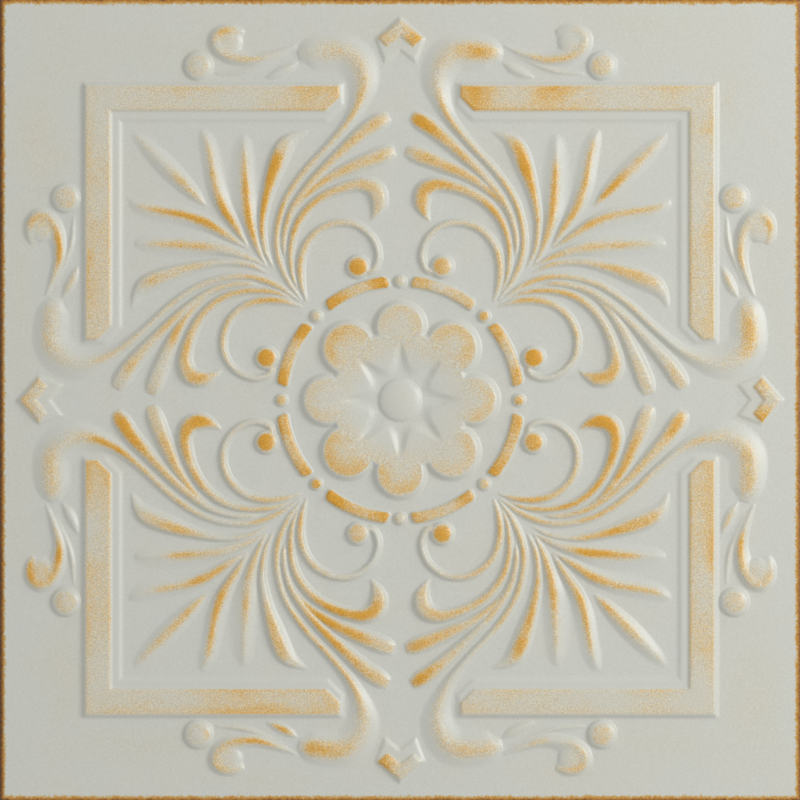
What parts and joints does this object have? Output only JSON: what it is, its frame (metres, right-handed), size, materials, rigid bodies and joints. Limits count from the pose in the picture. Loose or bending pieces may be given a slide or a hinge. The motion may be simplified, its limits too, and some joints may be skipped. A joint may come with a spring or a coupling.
{
  "type": "polystyrene ceiling tile",
  "caption": "Square moulded foam ceiling tile with raised scroll and rosette ornament, glued flat to a ceiling.",
  "frame": {"origin": "centre of the flat back, which lies on the floor", "axes": "+Z out of the ornamented face, away from the glued back; +X and +Y along the square's sides"},
  "size_m": [0.5, 0.5, 0.0094],
  "materials": {
    "painted_foam": "off-white moulded foam, matt, with a dry-brushed gold wash on the raised ornament and a brown-gold painted rim"
  },
  "bodies": {
    "root": {"ceiling_tile": "painted_foam"}
  },
  "joints": []
}
